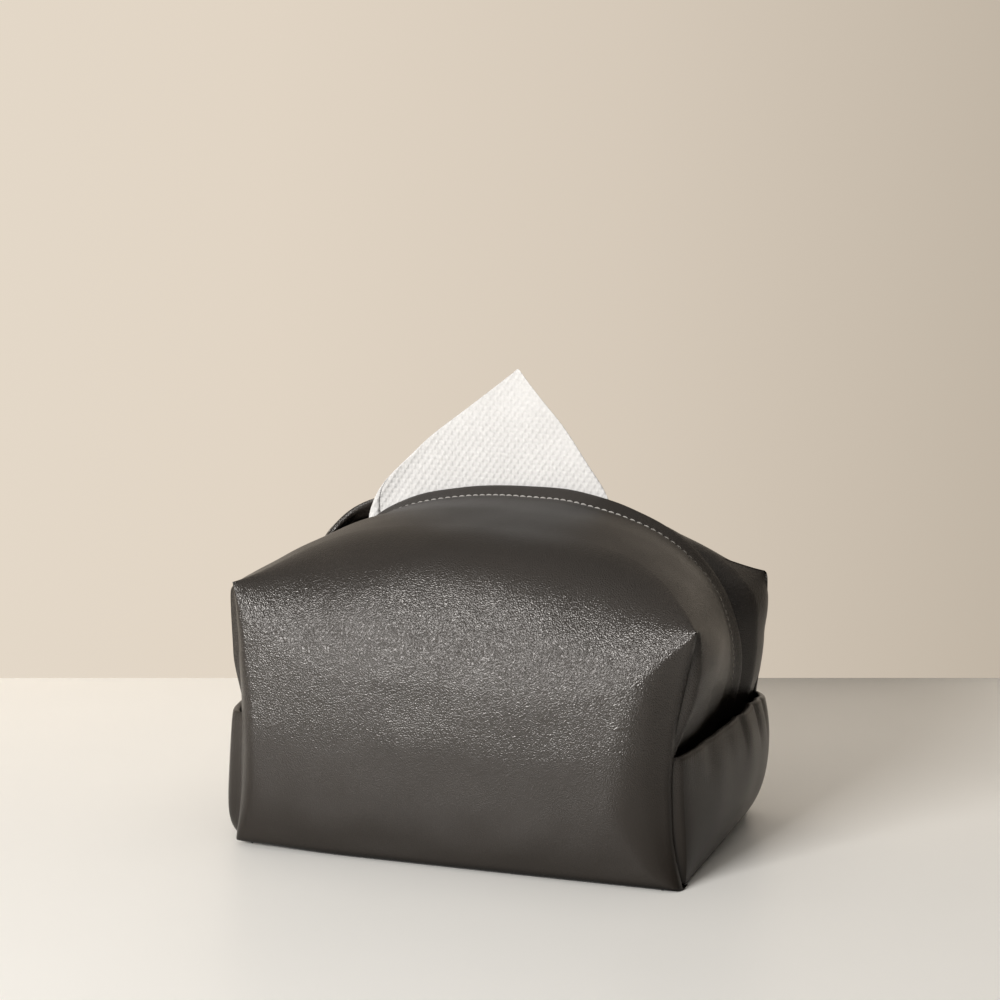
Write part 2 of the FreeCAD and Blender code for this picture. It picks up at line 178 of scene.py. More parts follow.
def half_length(side, xi, zeta, inset):
    """Half a face's length at one height, drawn in at its waist."""
    waist = mix(SEAM_WAIST[side, LEFT], SEAM_WAIST[side, RIGHT], (xi + 1) / 2)
    if side == BACK and xi > 0:
        inset -= corner_swell(zeta)
    drawn_in = waist * math.sin(math.pi * clamp(zeta) ** WAIST_POWER)
    return mix(BASE_HALF_LENGTH, EAR_HALF_LENGTH, zeta) - inset - drawn_in


def belly(xi, zeta):
    """How far the stuffed face stands out before its seams: a slow curve, then a flank down to each seam."""
    arch = math.sin(math.pi * clamp(zeta))
    slow = (mix(FOLD_BELLY, TOP_BELLY, zeta) + MID_BELLY * arch) * (1 - xi**4)
    if arch < 0.001:
        return slow
    flank = arch**FLANK_POWER
    u = (1 - abs(xi)) * BASE_HALF_LENGTH / (FLANK_WIDTH[sign(xi)] * flank)
    start = mix(LOW_FLANK_STRAIGHT, HIGH_FLANK_STRAIGHT, rise(zeta, *FLANK_CHANGE))
    if u > start:
        u = min(u, 2 - start)
        u -= (u - start) ** 2 / (4 * (1 - start))
    return slow + FLANK_DEPTH * flank * u - SEAM_SET_BACK * arch**SET_BACK_POWER * (1 - smooth(u))


def crown(side, xi, zeta):
    return CROWN[side] * (1 - xi * xi) ** CROWN_POWER[side, sign(xi)] * zeta**CROWN_ONSET


def face_plane(side, xi, zeta, inset):
    x = xi * half_length(side, xi, zeta, inset) + LEAN * zeta**2
    z = mix(inset, ear_height(side, xi) - inset, zeta) + crown(side, xi, zeta)
    return Vector((x, SIDE_SIGN[side] * (HALF_DEPTH - inset + belly(xi, zeta)), z))


def parting(psi):
    """0 where the back lip lies under the front one, 1 where the mouth is open."""
    start, end = BACK_PARTS[sign(psi)]
    return smooth((start - abs(math.degrees(psi))) / (start - end))


def release(psi):
    """How much of its own form the back lip has there."""
    return rise(parting(psi), *RELEASE_START)


def lip_y(side, psi):
    return FRONT_LIP_Y if side == FRONT else mix(FRONT_LIP_Y - LIP_OVERLAP, BACK_LIP_Y, parting(psi))


def lip_half_length(side, psi):
    if side == FRONT:
        return LIP_HALF_LENGTH
    return LIP_HALF_LENGTH + mix(-UNDER, BACK_SWELL[sign(psi)] * smooth(abs(psi) / EAR), release(psi))


def roundness(side, psi):
    front = ROUNDNESS[FRONT, sign(psi)]
    return front if side == FRONT else mix(front, ROUNDNESS[BACK, sign(psi)], release(psi))


def seam_height(side, share):
    return mix(SEAM_START[side], SEAM_MOUTH, smooth(share))


def seam_height_at(y):
    if y < FRONT_LIP_Y:
        return seam_height(FRONT, (HALF_DEPTH + y) / (HALF_DEPTH + FRONT_LIP_Y))
    return seam_height(BACK, (HALF_DEPTH - y) / (HALF_DEPTH - FRONT_LIP_Y + LIP_OVERLAP))


def height_share(side, xi, z, inset):
    return (z - inset) / (ear_height(side, xi) - 2 * inset)


def depth(side, psi):
    return abs(SIDE_SIGN[side] * HALF_DEPTH - lip_y(side, psi))


def end_swell(side, psi, share, eta):
    """How far the upper end is stuffed out, less towards its top and its foot."""
    top = SWELL_FADE[sign(psi)]
    fade = 1 - rise(eta, top, 1 - top)
    swell = END_SWELL[side, sign(psi)] * fade * mix(SWELL_FOOT, 1, smooth(eta / SWELL_RISE))
    return swell * math.sin(math.pi * max(share, 0.0) ** 0.5)


def arch_point(side, psi, share, inset):
    """A place on the upper case, on an arch between the face's square outline and the round lip."""
    power = roundness(side, psi) / max(share, 0.01) ** ROUNDING_POWER
    sine, cosine = abs(math.sin(psi)), abs(math.cos(psi))
    reach = max(sine, cosine)
    norm = reach
    if share > 0:
        norm *= ((sine / reach) ** power + (cosine / reach) ** power) ** (1 / power)
    xi, eta = math.copysign(sine / norm, psi), cosine / norm
    top = mix(ear_height(side, xi), LIP_TOP[side], share)
    z = mix(seam_height(side, share), top - inset, eta) + crown(side, xi, eta) * (1 - share)
    zeta = height_share(side, xi, z, inset)
    spread = max(share, 0.0) ** SPREAD_POWER
    if side == BACK:
        spread = mix(rise(share, *UNDER_START), spread, release(psi))
    half = mix(half_length(side, xi, min(1.0, zeta), 0.0), lip_half_length(side, psi), spread)
    half += end_swell(side, psi, share, eta) - inset
    half -= END_TUCK[side] * (1 - eta) ** TUCK_POWER * smooth(share * TUCK_ONSET)
    x = xi * half + mix(LEAN * min(1.0, zeta) ** 2, LEAN * LIP_LEAN, share)
    start = SIDE_SIGN[side] * (HALF_DEPTH - inset + belly(xi, 1.0) * eta)
    return Vector((x, mix(start, lip_y(side, psi), share), z))


def shoulder_leg(xi):
    return max(EAR_LEG, mix(SHOULDER_LEG, EAR_LEG, abs(xi) ** 5))


def shoulder(side, xi, inset):
    """The shoulder roll at xi: its low end, its corner, its high end, and the share where that lies."""
    leg = shoulder_leg(xi)
    back_share = min(0.5, leg / depth(side, 0.0))
    low = face_plane(side, xi, 1 - leg / EAR_HEIGHT, inset)
    corner = face_plane(side, xi, 1.0, inset)
    return low, corner, arch_point(side, math.atan(xi), back_share, inset), back_share


def roll(low, corner, high, t):
    return low * (1 - t) ** 2 + corner * (2 * t * (1 - t)) + high * t * t


def flap_point(end, w, v, inset):
    """A place on a lower end: w runs from -1 at the front to 1 at the back, v from the table to the rim."""
    top = seam_height_at(w * HALF_DEPTH) + (LEFT_RIM_RISE if end == LEFT else 0.0)
    z = mix(inset, top, v)
    front_x = half_length(FRONT, end, height_share(FRONT, end, z, inset), inset)
    back_x = half_length(BACK, end, height_share(BACK, end, z, inset), inset)
    skewed = abs(w - FLAP_SKEW[end] * (1 - w * w))
    profile = (1 - (1 - v) ** FLAP_FULLNESS[end]) * (1 - RIM_TURN[end] * v**RIM_TURN_POWER)
    inner_power, outer_power = FLAP_POWERS
    swell = FLAP_SWELL * (1 - skewed**inner_power) ** outer_power * profile
    x = mix(front_x, back_x, smooth((w + 1) / 2)) + swell
    return Vector((end * x + LEAN * height_share(FRONT, end, z, inset) ** 2, w * (HALF_DEPTH - inset), z))


# ---- details that only the visual model has

HEM_RADIUS = 1.4  # turned edge of a lip
HEM_WIDTH = {FRONT: 11.0, BACK: 5.0}
HEM_GAP = 0.11  # between the outer face and the turned leather
HEM_RISE, HEM_RISE_END = 1.1, (0.8, 0.6)  # the stuffed case lifts the middle of the front lip
HEM_DIP = {FRONT: 2.4, BACK: 0.3}  # the leather sinks towards the stitches, so the hem stands up a little
DIP_END = (34.0, 24.0)  # distance from the lip's edge where it is level again
LIP_BEND = (0.4, 0.4)  # angle where the lip bends down to the right
STITCH_INSET = {FRONT: 8.2, BACK: 2.5}
STITCH_PITCH = 3.2
STITCH_RADIUS, STITCH_END, STITCH_SIDES = 0.33, 0.75, 8
STITCH_REACH, STITCH_TWIST = 0.37, 0.16
# A stitch's path: places along it and depths
STITCH_SHAPE = ((-1.0, 0.62), (-0.8, 0.2), (-0.3, -0.05), (0.3, -0.05), (0.8, 0.2), (1.0, 0.62))
STITCH_SINK, STITCH_LIFT = 0.2, 0.22  # the thread lies less deep where the lip bends down
STITCH_FREE_ENDS = 16.0
FURROW, FURROW_LOSS, FURROW_WIDTH = 0.45, 0.35, 0.8  # the line of the stitches, pressed in
PUCKER, PUCKER_WIDTH = 0.22, 1.7  # a dent at each stitch
RIDGE, RIDGE_BEHIND, RIDGE_WIDTH = 0.25, 2.6, 1.6  # a low ridge behind them
MARKS_END = (1.46, 0.08)  # angle where they fade out

SEAM_ROLL = 2.2  # rounding of a face's side edge where it turns into the corner seam
EAR_ROLL_SHARE, EAR_ROLL_SPAN = 0.35, 0.1  # less of it right below the ears
SEAM_BLEND, SEAM_BLEND_MORE, SEAM_BLEND_DEPTH = 15.0, 4.0, 0.8  # the slow bend before it
SEAM_BLEND_POWERS = (0.8, 2.2)
EDGE_TURN = ((0.0, 0.0), (0.25, 0.7), (0.9, 1.3), (1.9, 1.6), (3.2, 1.7))  # the edge turns in by x and y
EDGE_TURN_SPAN = 10.0
GAP_DEPTH = {FRONT: 4.6, BACK: 0.4}  # the dark gap right behind that edge
GAP_WIDTH = {FRONT: 7.0, BACK: 3.2}
GROOVE = {FRONT: 1.6, BACK: 0.8}  # the slow hollow of the ends behind it
GROOVE_WIDTH = 6.0
GAP_FADE = {FRONT: 3.5, BACK: 12.0}  # below the ears, where both end
FULL_GAP = 60.0  # so far below the ears that nothing fades

FOLD_ROLL, CORNER_FOLD_ROLL = 3.2, 1.6  # rounding of the fold along the table
FOOT_DROPS = (0.0, 2.0, 4.0, 6.0, 8.0)  # the foot of each upper end goes on down behind the flap's rim
FOOT_SLOPE = 0.12
RIM_ROLL = 2.0  # rounding of a flap's rim
RIM_DROPS, RIM_SLOPE = (2.0, 4.5, 7.0, 9.5), 0.05  # the rim's turned leather inside
FLAP_FOLD_ROLL = 2.4
FLAP_CREASE, CREASE_RATE, CREASE_HEIGHT, CREASE_WIDTH = 1.1, 5.2, 50.0, 9.0
FLAP_WAVE, FLAP_WAVE_RATES = 0.9, (2.6, 1.3)
PLEATS = {LEFT: ((-0.3, 0.9), (0.35, 1.2)), RIGHT: ((0.08, 0.7), (0.42, 1.3), (0.62, 1.0))}  # where, how deep
PLEAT_WIDTH, PLEAT_START = 2.2, (0.62, 0.38)
BASE_MARGINS = (2.6, 3.4)  # between the base and the seams
BASE_CLEARANCE, BASE_LOWEST = 0.45, 0.15
BASE_SAG, BASE_SAG_RATE = 0.35, 0.03

RIPPLES = (  # unevenness of the leather: waves per millimetre, place in the noise, height
    (0.021, Vector((3.1, 7.7, 1.9)), 0.9),
    (0.055, Vector((11.3, 2.4, 5.6)), 0.35),
)
RIPPLE_CALM = 12.0  # none of it at the table
CORNER_LIFT = 1.6  # the front left bottom corner stands a little off the table
LIFT_X, LIFT_Y, LIFT_Z = (45.0, 60.0), (10.0, 55.0), (26.0, 26.0)


def ripple(p):
    wave = Vector((0, 0, 0))
    for pitch, place, height in RIPPLES:
        wave += noise.noise_vector(p * pitch + place) * height
    return p + wave * smooth(p.z / RIPPLE_CALM)


def lift(p):
    near = rise(-p.x, *LIFT_X) * rise(-p.y, *LIFT_Y) * fall(p.z, *LIFT_Z)
    return p + Vector((0, 0, CORNER_LIFT * near))


def skin_point(p):
    return lift(ripple(p))


def fold_under(p, side, xi):
    """The fold along the table: the face's bottom edge turns under with a small radius."""
    radius = mix(FOLD_ROLL, CORNER_FOLD_ROLL, abs(xi) ** 6)
    if p.z < radius:
        p.y -= SIDE_SIGN[side] * quarter_round(radius, radius - p.z)
    return p


def edge_roll(p, side, xi, zeta):
    """The face's side edge rounds into the corner seam, after a slow bend that is widest at mid height."""
    away = (1 - abs(xi)) * half_length(side, xi, zeta, 0.0)
    below_ear = fall(zeta, 1, EAR_ROLL_SPAN)
    wide_power, deep_power = SEAM_BLEND_POWERS
    wide = SEAM_BLEND * math.sin(math.pi * clamp(zeta)) ** wide_power
    soft = max(0.0, 1 - away / (wide + SEAM_BLEND_MORE))
    p.y -= SIDE_SIGN[side] * SEAM_BLEND_DEPTH * soft**deep_power * below_ear
    if away < SEAM_ROLL:
        rolled = quarter_round(SEAM_ROLL, SEAM_ROLL - away)
        p.y -= SIDE_SIGN[side] * rolled * mix(EAR_ROLL_SHARE, 1.0, below_ear)
    return p


def seam_dive(p, away, ear_gap):
    """The end leather dives in behind the rolled edge of the face."""
    side = FRONT if p.y < 0 else BACK
    gap = GAP_DEPTH[side] * (1 - min(1.0, away / GAP_WIDTH[side]) ** 3)
    p.x -= sign(p.x) * (gap + GROOVE[side] * bell(away, GROOVE_WIDTH)) * smooth(ear_gap / GAP_FADE[side])
    return p


def hem_dip(side, edge):
    return HEM_DIP[side] * smooth(edge / STITCH_INSET[side]) * fall(edge, *DIP_END)


def hem_rise(side, psi, edge):
    if side == BACK:
        return 0.0
    return HEM_RISE * fall(edge, DIP_END[0], DIP_END[0]) * fall(abs(psi), *HEM_RISE_END)


def bend_down(psi):
    """1 where the lip bends down to the right."""
    return rise(psi, *LIP_BEND)


# ---- meshes


class Sheet:
    """Collects quads from point grids and turns them into one smooth mesh object in metres."""

    def __init__(self, name):
        self.name, self.points, self.quads = name, [], []

    def grid(self, rows, wrap=False):
        first = len(self.points)
        width = len(rows[0])
        for row in rows:
            self.points.extend(row)
        for i in range(len(rows) - 1):
            for j in range(width - 1):
                a = first + i * width + j
                self.quads.append((a, a + 1, a + width + 1, a + width))
            if wrap:
                a = first + i * width
                self.quads.append((a + width - 1, a, a + width, a + 2 * width - 1))

    def build(self, merge=True):
        mesh = bpy.data.meshes.new(self.name)
        coords = [((p.x + SHIFT) / 1000, p.y / 1000, p.z / 1000) for p in self.points]
        mesh.from_pydata(coords, [], self.quads)
        if merge:
            work = bmesh.new()
            work.from_mesh(mesh)
            bmesh.ops.remove_doubles(work, verts=work.verts, dist=2e-6)
            bmesh.ops.recalc_face_normals(work, faces=work.faces)
            work.to_mesh(mesh)
            work.free()
        for polygon in mesh.polygons:
            polygon.use_smooth = True
        made = bpy.data.objects.new(self.name, mesh)
        bpy.context.collection.objects.link(made)
        return made


# Columns over the arch: the middle ones carry the face as well
XI = [math.sin(t) for t in steps(-math.pi / 2, math.pi / 2, 27)]
XI = sorted(set(round(x, 6) for x in XI + steps(-0.985, 0.985, 181)))
MIDDLE = [math.atan(xi) for xi in XI]
WING = [mix(EAR, math.pi / 2, t) for t in steps(0, 1, 61)][1:]
PSI = [-a for a in reversed(WING)] + MIDDLE + WING
# Columns over a flap
DEPTH_SHARES = [math.sin(t) for t in steps(-math.pi / 2, math.pi / 2, 31)]
DEPTH_SHARES = sorted(set(round(w, 6) for w in DEPTH_SHARES + steps(-0.97, 0.97, 101)))
ARC_STEPS = 720
HEM_FACE = 11.0  # the last stretch before the lip has closer rows
UPPER_ROWS, HEM_ROWS, UPPER_CROWDING = 46, 26, 1.25
FACE_ROWS, FACE_CROWDING = 86, 1.15
FLAP_ROWS, FLAP_CROWDING = 44, 1.1
ROLL_ROWS, TURN_ROWS, TURNED_ROWS = 9, 11, 5
INNER_UPPER_ROWS, INNER_FACE_ROWS, INNER_FLAP_ROWS = 14, 12, 10
INNER_FLAP_TOP = 0.86
BASE_ROWS, BASE_COLUMNS = 61, 31


class Lip:
    """One lip with the upper case below it: lengths along the lip, and the columns of leather up to it."""

    def __init__(self, side):
        self.side, self.lengths, total = side, [], 0.0
        self.angles = [-math.pi / 2 + math.pi * k / ARC_STEPS for k in range(ARC_STEPS + 1)]
        last = arch_point(side, self.angles[0], 1.0, 0.0)
        for psi in self.angles:
            here = arch_point(side, psi, 1.0, 0.0)
            total += (here - last).length
            last = here
            self.lengths.append(total)

    def length_at(self, psi):
        place = (psi + math.pi / 2) / math.pi * ARC_STEPS
        k = min(ARC_STEPS - 1, max(0, int(place)))
        return mix(self.lengths[k], self.lengths[k + 1], place - k)

    def angle_at(self, length):
        for k in range(ARC_STEPS):
            low, high = self.lengths[k], self.lengths[k + 1]
            if high >= length:
                return mix(self.angles[k], self.angles[k + 1], (length - low) / max(1e-9, high - low))
        return self.angles[-1]

    def marks(self, psi, edge):
        """How deep the stitches press the leather in at this distance from the lip's edge."""
        behind = edge - STITCH_INSET[self.side]
        pucker = 0.5 + 0.5 * math.cos(2 * math.pi * self.length_at(psi) / STITCH_PITCH)
        pressed = (FURROW - FURROW_LOSS * bend_down(psi)) * bell(behind, FURROW_WIDTH)
        pressed += PUCKER * pucker * bell(behind, PUCKER_WIDTH)
        pressed -= RIDGE * bell(behind - RIDGE_BEHIND, RIDGE_WIDTH)
        return pressed * fall(abs(psi), *MARKS_END)

    def top(self, psi, share, inset, marked=False):
        """A place on the upper case, past the shoulder roll."""
        reach = depth(self.side, psi)
        edge = (1 - share) * reach
        inset += hem_dip(self.side, edge)
        if marked:
            inset += self.marks(psi, edge)
        p = arch_point(self.side, psi, share, inset)
        p.z += hem_rise(self.side, psi, edge)
        if abs(psi) > EAR - 0.02:
            p = seam_dive(p, share * reach, ear_height(self.side, sign(psi)) - p.z)
        return p

    def column(self, psi, inset, shares, marked=False):
        """One column from the middle of the shoulder roll to the last share."""
        rows = []
        if abs(psi) <= EAR + 1e-9:
            low, corner, high, start = shoulder(self.side, math.tan(psi), inset)
            for t in steps(0.5, 1, ROLL_ROWS)[:-1]:
                rows.append(roll(low, corner, high, t))
        else:
            start = EAR_LEG / depth(self.side, 0.0)
            for t in steps(0, 1, ROLL_ROWS)[:-1]:
                rows.append(self.top(psi, start * t, inset, marked))
        for share in shares(start, depth(self.side, psi)):
            rows.append(self.top(psi, share, inset, marked))
        return rows

    def outer_shares(self, start, reach):
        last = 1 - HEM_FACE / reach
        first = [mix(start, last, (k / UPPER_ROWS) ** UPPER_CROWDING) for k in range(UPPER_ROWS)]
        return first + steps(last, 1 - HEM_RADIUS / reach, HEM_ROWS)

    def inner_shares(self, start, reach):
        return steps(start, 1 - HEM_WIDTH[self.side] / reach, INNER_UPPER_ROWS)

    def hem(self, psi):
        """Over the edge and back inside, to the hem's own raw edge."""
        reach = depth(self.side, psi)
        rows = []
        for angle in steps(0, math.pi, TURN_ROWS)[1:]:
            share = 1 - (HEM_RADIUS - HEM_RADIUS * math.sin(angle)) / reach
            rows.append(self.top(psi, share, HEM_RADIUS * (1 - math.cos(angle)) + HEM_GAP))
        for back in steps(HEM_RADIUS, HEM_WIDTH[self.side], TURNED_ROWS)[1:]:
            rows.append(self.top(psi, 1 - back / reach, 2 * HEM_RADIUS + 0.1))
        return rows


def face_column(side, xi, inset, count):
    """One column of the face from the table to the middle of the shoulder roll."""
    low, corner, high, _ = shoulder(side, xi, inset)
    outer = inset == 0.0
    top_zeta = 1 - shoulder_leg(xi) / EAR_HEIGHT
    rows = []
    for k in range(count):
        zeta = top_zeta * (k / (count - 1)) ** FACE_CROWDING
        p = face_plane(side, xi, zeta, inset)
        rows.append(edge_roll(fold_under(p, side, xi), side, xi, zeta) if outer else p)
    for t in steps(0, 0.5, ROLL_ROWS)[1:]:
        p = roll(low, corner, high, t)
        rows.append(edge_roll(p, side, xi, mix(top_zeta, 1.0, t)) if outer and t < 0.5 else p)
    return rows


def turned_under(rows, side):
    """The same column with the leather that goes on under the base."""
    under = [rows[0] + Vector((0, -SIDE_SIGN[side] * back, up)) for back, up in ((7.0, 0.25), (3.0, 0.1))]
    return under + rows


def turned_edge(edge, side):
    """A face's side edge turns in towards the groove, less near the ear."""
    rows = []
    for dx, dy in EDGE_TURN:
        row = []
        for p in edge:
            near = fall(p.z, ear_height(side, sign(p.x)), EDGE_TURN_SPAN)
            row.append(p + Vector((-sign(p.x) * dx, -SIDE_SIGN[side] * dy, 0)) * near)
        rows.append(row)
    return rows


def cover_skin(side):
    """One leather skin from the fold on the table over the shoulder and the ends to the hemmed lip."""
    sheet = Sheet(f"{side}_cover")
    lip = Lip(side)
    whole = []
    for psi in PSI:
        outer = lip.column(psi, 0.0, lip.outer_shares, marked=True)
        line = [skin_point(p) for p in outer]
        shift = line[-1] - outer[-1]
        turned = lip.hem(psi)
        for k, p in enumerate(turned):
            line.append(p + shift * (1 - k / len(turned)))
        line.extend(reversed(lip.column(psi, LEATHER, lip.inner_shares)))
        whole.append(line)
    sheet.grid(whole)
    for end in (0, -1):
        source = whole[end][: len(outer)]
        slope = FOOT_SLOPE * sign(source[0].x)
        sheet.grid([[p - Vector((slope * drop, 0, drop)) for p in source] for drop in FOOT_DROPS])
    face_out = [[skin_point(p) for p in face_column(side, xi, 0.0, FACE_ROWS)] for xi in XI]
    sheet.grid([turned_under(rows, side) for rows in face_out])
    sheet.grid([face_column(side, xi, LEATHER, INNER_FACE_ROWS) for xi in XI])
    for end in (0, -1):
        sheet.grid(turned_edge(face_out[end], side))
    return sheet.build()


def flap_column(end, w):
    """One column of a flap: up the outer face, over the rounded rim and down inside."""
    away = (1 - abs(w)) * HALF_DEPTH
    rim_v = 1 - RIM_ROLL / seam_height_at(w * HALF_DEPTH)
    wide_rate, high_rate = FLAP_WAVE_RATES
    rows = []
    for k in range(FLAP_ROWS):
        v = rim_v * (k / (FLAP_ROWS - 1)) ** FLAP_CROWDING
        p = flap_point(end, w, v, 0.0)
        if p.z < FLAP_FOLD_ROLL:
            p.x -= end * quarter_round(FLAP_FOLD_ROLL, FLAP_FOLD_ROLL - p.z)
        crease = noise.noise(Vector((w * CREASE_RATE + end * 3.0, 0.4, 7.0)))
        crease *= bell(p.z - CREASE_HEIGHT, CREASE_WIDTH)
        wave = noise.noise(Vector((w * wide_rate, v * high_rate, end * 4.0))) * smooth(v * 2)
        for fold, deep in PLEATS[end]:
            p.x -= end * deep * bell((w - fold) * HALF_DEPTH, PLEAT_WIDTH) * rise(v, *PLEAT_START)
        p.x += end * (FLAP_CREASE * crease + FLAP_WAVE * wave) * (1 - abs(w) ** 6)
        rows.append(seam_dive(p, away, FULL_GAP))
    tip = rows[-1]
    for angle in steps(0, math.pi, TURN_ROWS)[1:]:
        rows.append(tip + Vector((-end * RIM_ROLL * (1 - math.cos(angle)), 0, RIM_ROLL * math.sin(angle))))
    for drop in RIM_DROPS:
        rows.append(tip + Vector((-end * (2 * RIM_ROLL + RIM_SLOPE * drop), 0, -drop)))
    return [lift(p) for p in rows]


def flap_skin(end, name):
    """A lower end: a full soft flap with a rounded rim, turned down inside, and its inner face."""
    sheet = Sheet(f"{name}_flap")
    sheet.grid([flap_column(end, w) for w in DEPTH_SHARES])
    inner = []
    for w in DEPTH_SHARES:
        away = (1 - abs(w)) * HALF_DEPTH
        column = [flap_point(end, w, v, LEATHER) for v in steps(0, INNER_FLAP_TOP, INNER_FLAP_ROWS)]
        inner.append([seam_dive(p, away, FULL_GAP) for p in column])
    sheet.grid(inner)
    return sheet.build()


def base_skin():
    """The bottom: a slightly uneven outer face, an inner face and the rim between them."""
    sheet = Sheet("base")
    outer, inner = [], []
    margin_x, margin_y = BASE_MARGINS
    for xi in steps(-1, 1, BASE_ROWS):
        low, high = [], []
        for w in steps(-1, 1, BASE_COLUMNS):
            x = xi * (BASE_HALF_LENGTH - margin_x)
            y = w * (HALF_DEPTH - margin_y + FOLD_BELLY * (1 - xi**4))
            sag = BASE_SAG * noise.noise(Vector((x * BASE_SAG_RATE, y * BASE_SAG_RATE, 2.0)))
            low.append(lift(Vector((x, y, max(BASE_LOWEST, BASE_CLEARANCE + sag)))))
            high.append(lift(Vector((x, y, LEATHER))))
        outer.append(low)
        inner.append(high)
    sheet.grid(outer)
    sheet.grid(inner)
    for edge in (0, -1):
        sheet.grid([outer[edge], inner[edge]])
        sheet.grid([[row[edge] for row in outer], [row[edge] for row in inner]])
    return sheet.build()


def stitches(side):
    """Single topstitches along the lip, each a short slightly sunken loop of thread."""
    sheet = Sheet(f"{side}_topstitch")
    lip = Lip(side)
    edge = STITCH_INSET[side]
    count = int((lip.lengths[-1] - STITCH_FREE_ENDS) / STITCH_PITCH)
    start = (lip.lengths[-1] - (count - 1) * STITCH_PITCH) / 2
    across = Vector((0, 1, 0))
    last = len(STITCH_SHAPE) - 1

    def place(length, sink):
        psi = lip.angle_at(length)
        deep = sink - STITCH_LIFT * bend_down(psi) + HEM_DIP[side] + STITCH_SINK
        p = arch_point(side, psi, 1 - edge / depth(side, psi), deep)
        p.z += hem_rise(side, psi, edge)
        return skin_point(p)

    for n in range(count):
        middle = start + n * STITCH_PITCH
        path = [place(middle + aside * STITCH_PITCH * STITCH_REACH, sink) for aside, sink in STITCH_SHAPE]
        rings = []
        for k, p in enumerate(path):
            ahead = (path[min(k + 1, last)] - path[max(k - 1, 0)]).normalized()
            up = ahead.cross(across).normalized()
            thick = STITCH_RADIUS * (STITCH_END if k in (0, last) else 1.0)
            centre = p + across * (STITCH_TWIST * (2 * k / last - 1))
            angles = [math.tau * j / STITCH_SIDES for j in range(STITCH_SIDES)]
            rings.append([centre + (across * math.cos(a) + up * math.sin(a)) * thick for a in angles])
        sheet.grid(rings, wrap=True)
    return sheet.build(merge=False)


# ---- the tissue

SHEET_Y = 33.4
SHEET_FOOT, SHEET_TIP, MOUTH_HEIGHT = 78.4, 197.2, 128
SHEET_COLUMNS, LOW_SHEET_ROWS, HIGH_SHEET_ROWS = 96, 24, 92
# The sheet's edges: height and x
LEFT_EDGE = [(78, -50), (105, -64), (125, -71.6), (135, -69.4), (145, -63.2), (157, -51.2), (166, -41.6)]
LEFT_EDGE += [(181, -22.2), (197.4, -1.3)]
RIGHT_EDGE = [(78, 30), (105, 38), (132, 42.5), (144, 39), (156.5, 30.7), (173.6, 18.4), (190, 4.6)]
RIGHT_EDGE += [(197.4, -1.1)]
PLY = 0.00022  # thickness in metres
FOLDED_PLY = 0.0002
FREE_START, OUT_START = (138.0, 30.0), (124.0, 16.0)  # heights where it waves freely, and comes out
WAVE, WAVE_RATE, WAVE_START = 1.1, 0.045, 0.6
CRINKLE, CRINKLE_RATE = 0.7, 0.05
LEFT_CURL, LEFT_CURL_START = (0.7, 0.9), (128.0, 16.0)  # how far the left edge stands forward
LEFT_CURL_WIDTH, LEFT_CURL_END = 4.2, (176.0, 24.0)
HOLLOW, HOLLOW_PLACE, HOLLOW_WIDTH, HOLLOW_END = 0.6, 8.0, 4.5, (150.0, 16.0)  # beside it
RIGHT_CURL, RIGHT_CURL_WIDTH = 0.8, 3.0
STRIP_LOW, STRIP_HIGH = 126.6, 146.0
STRIP_WIDTH, STRIP_ROWS, STRIP_COLUMNS = (5.6, 0.35), 40, 14
STRIP_FLATNESS, STRIP_GAP = 0.62, 0.15
STRIP_TURN_START, STRIP_TURN = 0.05, 1.5  # half turns


def edge_at(edge, z):
    """A smooth curve through the edge's points: the heights rise, so it runs over them."""
    k = max(i for i in range(len(edge) - 1) if edge[i][0] <= z or i == 0)
    (z0, x0), (z1, x1) = edge[k], edge[k + 1]
    t = min(1.0, (z - z0) / (z1 - z0))

    def slope(i):
        low, high = edge[max(0, i - 1)], edge[min(len(edge) - 1, i + 1)]
        return (high[1] - low[1]) / (high[0] - low[0]) * (z1 - z0)

    a, b = slope(k), slope(k + 1)
    return x0 + a * t + (3 * (x1 - x0) - 2 * a - b) * t**2 + (a + b - 2 * (x1 - x0)) * t**3


def tissue_place(s, z):
    """A place on the sheet: s from -1 at its left edge to 1 at its right edge."""
    left, right = edge_at(LEFT_EDGE, z), edge_at(RIGHT_EDGE, z)
    x = mix(left, right, (s + 1) / 2)
    free, out = rise(z, *FREE_START), rise(z, *OUT_START)
    left_curl = mix(*LEFT_CURL, rise(z, *LEFT_CURL_START)) * fall(z, *LEFT_CURL_END)
    y = SHEET_Y + free * WAVE * math.sin(x * WAVE_RATE + WAVE_START)
    y += free * CRINKLE * noise.noise(Vector((x * CRINKLE_RATE, z * CRINKLE_RATE, 4.2)))
    y -= left_curl * bell(x - left, LEFT_CURL_WIDTH) * out
    y += HOLLOW * bell(x - left - HOLLOW_PLACE, HOLLOW_WIDTH) * fall(z, *HOLLOW_END) * out
    y -= RIGHT_CURL * bell(right - x, RIGHT_CURL_WIDTH) * free
    return Vector((x, y, z))


def thicken(made, thickness):
    solid = made.modifiers.new("plies", "SOLIDIFY")
    solid.thickness = thickness
    solid.offset = 0.0
    return made


def tissue_skin():
    sheet = Sheet("tissue_sheet")
    heights = steps(SHEET_FOOT, MOUTH_HEIGHT, LOW_SHEET_ROWS)[:-1]
    heights += steps(MOUTH_HEIGHT, SHEET_TIP, HIGH_SHEET_ROWS)
    sheet.grid([[tissue_place(s, z) for s in steps(-1, 1, SHEET_COLUMNS)] for z in heights])
    return thicken(sheet.build(), PLY)


